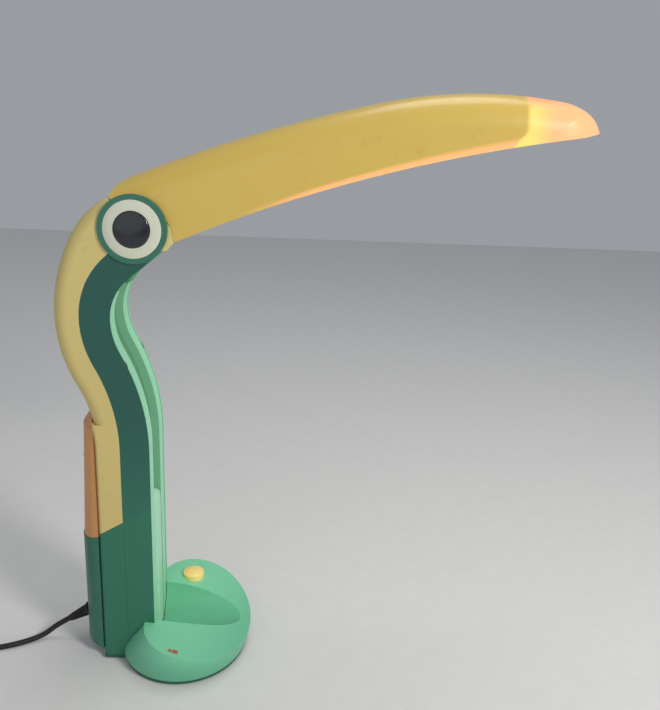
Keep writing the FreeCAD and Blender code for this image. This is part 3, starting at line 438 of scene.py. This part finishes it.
# where the winding changes row or layer: turning in degrees, radius and height after it
SHIFTS = [
    (300, 30, 2.5), (660, 25, 2.5), (1020, 25, 7.5), (1320, 30, 7.5), (1680, 35, 7.5),
    (2040, 35, 12.5), (2340, 30, 12.5), (2700, 25, 12.5),
]
COIL_END = 2880.0
SHIFT_TURN = 60.0  # each change takes this many degrees
# the lead's way out over the turns: angle in degrees, radius and height
CROSSING = [
    (268, 25.4, 14.5), (252, 27.5, 17.6), (234, 31.0, 18.4), (217, 35.0, 18.2), (203, 38.6, 16.6),
    (190, 41.0, 12.8),
]
# and from there to the plug
TAIL = [
    (-0.2936, 0.0040, 0.0085),
    (-0.2925, 0.0150, 0.0050),
    (-0.2890, 0.0270, 0.0035),
    (-0.2835, 0.0400, 0.0042),
    (-0.2805, 0.0500, 0.0052),
    (-0.2800, 0.0600, 0.0054),
]


def on_coil(angle, radius, height):
    a = radians(angle)
    return (COIL_X + radius * MM * cos(a), COIL_Y + radius * MM * sin(a), height * MM)


def coil_points():
    """Clockwise turns in three layers. The spline runs 2% inside its points."""
    points, steps = [], int(COIL_END / COIL_STEP)
    for i in range(steps + 1):
        turned = i * COIL_STEP
        radius, height = 35.0, 2.5
        for start, r, z in SHIFTS:
            t = min(max((turned - start) / SHIFT_TURN, 0.0), 1.0)
            t = t * t * (3 - 2 * t)
            radius, height = radius + (r - radius) * t, height + (z - height) * t
        points.append(on_coil(COIL_START - turned, radius * 1.02, height))
    return points


def add_cord(rubber):
    points = ROUTE + coil_points() + [on_coil(*p) for p in CROSSING] + TAIL
    data = bpy.data.curves.new("mains_cord", "CURVE")
    data.dimensions = "3D"
    data.bevel_depth, data.bevel_resolution = CORD_D / 2, 4
    data.use_fill_caps = True
    data.resolution_u = 6
    spline = data.splines.new("NURBS")
    spline.points.add(len(points) - 1)
    for point, place in zip(spline.points, points):
        point.co = (*place, 1)
    spline.order_u = 3
    spline.use_endpoint_u = True
    cord = bpy.data.objects.new("mains_cord", data)
    SCENE.collection.objects.link(cord)
    data.materials.append(rubber)
    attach(cord, BODY)
    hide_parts("cord", "cord_coil", "cord_tail")
    return cord


def new_piece(name, bm, material, body):
    mesh = bpy.data.meshes.new(name)
    bmesh.ops.recalc_face_normals(bm, faces=bm.faces)
    bm.to_mesh(mesh)
    bm.free()
    for face in mesh.polygons:
        face.use_smooth = True
    piece = bpy.data.objects.new(name, mesh)
    SCENE.collection.objects.link(piece)
    mesh.materials.append(material)
    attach(piece, body)
    return piece


def rings_mesh(rings):
    """Closed skin over rings of equal point counts, capped at both ends."""
    bm = bmesh.new()
    loops = [[bm.verts.new(p) for p in ring] for ring in rings]
    for a, b in zip(loops, loops[1:]):
        for i in range(len(a)):
            j = (i + 1) % len(a)
            bm.faces.new((a[i], a[j], b[j], b[i]))
    bm.faces.new(loops[0])
    bm.faces.new(list(reversed(loops[-1])))
    return bm


BOOT_ROOT, BOOT_TILT = (-0.0887, 0, 0.0313), radians(30)
BOOT_RIBS, RIBS_START, RIBS_END = 6, 2.6, 21.2  # places along the boot
BOOT_R, BOOT_TIP_R = 5.5, 3.4


def add_boot(rubber):
    """Tapered strain relief with a flange, slotted into ribs."""
    root, axis = Vector(BOOT_ROOT), Vector((-cos(BOOT_TILT), 0, -sin(BOOT_TILT)))
    side, up = Vector((0, 1, 0)), Vector((sin(BOOT_TILT), 0, -cos(BOOT_TILT)))
    # pairs of place along the boot and radius: the flange, the ribs, the end
    profile = [(-3.5, 4.15), (-0.2, 4.15), (0.0, 6.3), (0.3, 6.55), (1.6, 6.55), (1.9, 6.3), (2.1, BOOT_R)]
    pitch = (RIBS_END - RIBS_START) / BOOT_RIBS
    for i in range(BOOT_RIBS):
        s = RIBS_START + i * pitch
        r = BOOT_R + (BOOT_TIP_R - BOOT_R) * (s - RIBS_START) / (RIBS_END - RIBS_START)
        profile += [(s, r), (s + 0.15, r + 0.05), (s + pitch * 0.55, r - 0.1)]
        profile += [(s + pitch * 0.62, r - 0.8), (s + pitch * 0.92, r - 0.9)]
    profile += [(RIBS_END + 0.2, 3.35), (22.6, 3.2), (22.8, 2.9), (22.8, 2.45)]
    count = 28
    angles = [2 * pi * i / count for i in range(count)]
    rings = []
    for s, r in profile:
        centre = root + axis * s * MM
        rings.append([centre + (side * cos(a) + up * sin(a)) * r * MM for a in angles])
    boot = new_piece("cord_relief", rings_mesh(rings), rubber, BODY)
    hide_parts("cord_boot")


def signed_power(value, power):
    return abs(value) ** power * (1 if value >= 0 else -1)


PLUG = (-0.280, 0.056, 0.0054)


def add_plug(rubber):
    """Flat two-pin plug: waisted grip, and a ribbed collar where the lead goes in."""
    x, y, z = PLUG
    # place along the plug, half width, half thickness, and how far the section is raised
    profile = [
        (-6.0, 3.1, 3.1, 0), (-5.6, 3.5, 3.5, 0), (-3.6, 3.7, 3.7, 0), (-3.2, 3.1, 3.1, 0),
        (-2.0, 3.2, 3.2, 0), (-1.6, 4.1, 4.0, 0), (0.4, 4.3, 4.2, 0), (0.8, 3.6, 3.6, 0),
        (2.0, 3.8, 3.7, 0.1), (2.4, 4.7, 4.4, 0.2),
        (5.0, 5.2, 4.8, 0.4), (8.0, 6.6, 5.3, 0.7), (13.0, 10.2, 5.8, 0.9), (18.0, 14.4, 6.1, 1.0),
        (22.0, 16.6, 6.2, 1.1), (27.0, 17.1, 6.2, 1.1), (32.0, 16.2, 6.2, 1.1), (37.0, 16.6, 6.3, 1.1),
        (40.6, 17.3, 6.4, 1.1), (41.6, 17.2, 6.2, 1.1), (42.0, 16.6, 5.7, 1.1),
    ]
    count, rings = 40, []
    for s, half, thick, lift in profile:
        ring = []
        power = 0.5 if half > 6 else 1.0
        for i in range(count):
            a = 2 * pi * i / count
            px, pz = half * signed_power(cos(a), power), thick * signed_power(sin(a), power)
            ring.append((x + px * MM, y + s * MM, z + (pz + lift) * MM))
        rings.append(ring)
    plug = new_piece("plug_grip", rings_mesh(rings), rubber, BODY)
    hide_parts("plug_body")
    return plug


TIE_ANGLE, TIE_HALF_WIDTH = radians(40.0), 0.004
COIL_MIDDLE = 30.0  # radius of the coil's middle
TIE_HALF_ACROSS, TIE_HALF_HIGH, TIE_THICK = 8.6, 7.9, 0.9  # its section round the turns


def add_tie(material):
    """Strap round the coil's turns."""
    out = Vector((cos(TIE_ANGLE), sin(TIE_ANGLE), 0))
    along = Vector((-sin(TIE_ANGLE), cos(TIE_ANGLE), 0))
    centre, count = Vector((COIL_X, COIL_Y, 0)), 32
    section = []
    for i in range(count):
        a = 2 * pi * i / count
        across, high = signed_power(cos(a), 0.5), signed_power(sin(a), 0.5)
        section.append((TIE_HALF_ACROSS * across, TIE_HALF_HIGH * high))
    bm = bmesh.new()
    loops = []
    inner = 1 - TIE_THICK / TIE_HALF_ACROSS
    for off, size in ((-1, 1.0), (1, 1.0), (1, inner), (-1, inner)):
        loop = []
        for across, high in section:
            point = centre + out * (COIL_MIDDLE + across * size) * MM + along * TIE_HALF_WIDTH * off
            point.z = max(TIE_HALF_HIGH + high * size, 0.0) * MM
            loop.append(bm.verts.new(point))
        loops.append(loop)
    for a, b in zip(loops, loops[1:] + loops[:1]):
        for i in range(count):
            j = (i + 1) % count
            bm.faces.new((a[i], a[j], b[j], b[i]))
    return new_piece("cord_tie", bm, material, BODY)


# --- softened edges -------------------------------------------------------------------------------------
SHARP = radians(42)  # edges that turn more than this are softened
SOFT_EDGES = {
    "neck_shell_near": 0.0005,
    "neck_shell_far": 0.0005,
    "base_shell": 0.0009,
    "beak_shade": 0.0006,
    "rear_cover_lower": 0.0005,
    "rear_cover_upper": 0.0004,
    "groove_cover": 0.0003,
}


def soften():
    for name, width in SOFT_EDGES.items():
        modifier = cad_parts[name].modifiers.new("soft_edge", "BEVEL")
        modifier.width, modifier.segments = width, 2
        modifier.limit_method, modifier.angle_limit = "ANGLE", SHARP
        modifier.harden_normals = False


add_camera()
rubber = dress()
cord = add_cord(rubber)
plug = add_plug(rubber)
add_boot(rubber)
tie = add_tie(plain("tie_strap", (52, 52, 54), rough=0.6, relief=0.4))
add_stage()
soften()
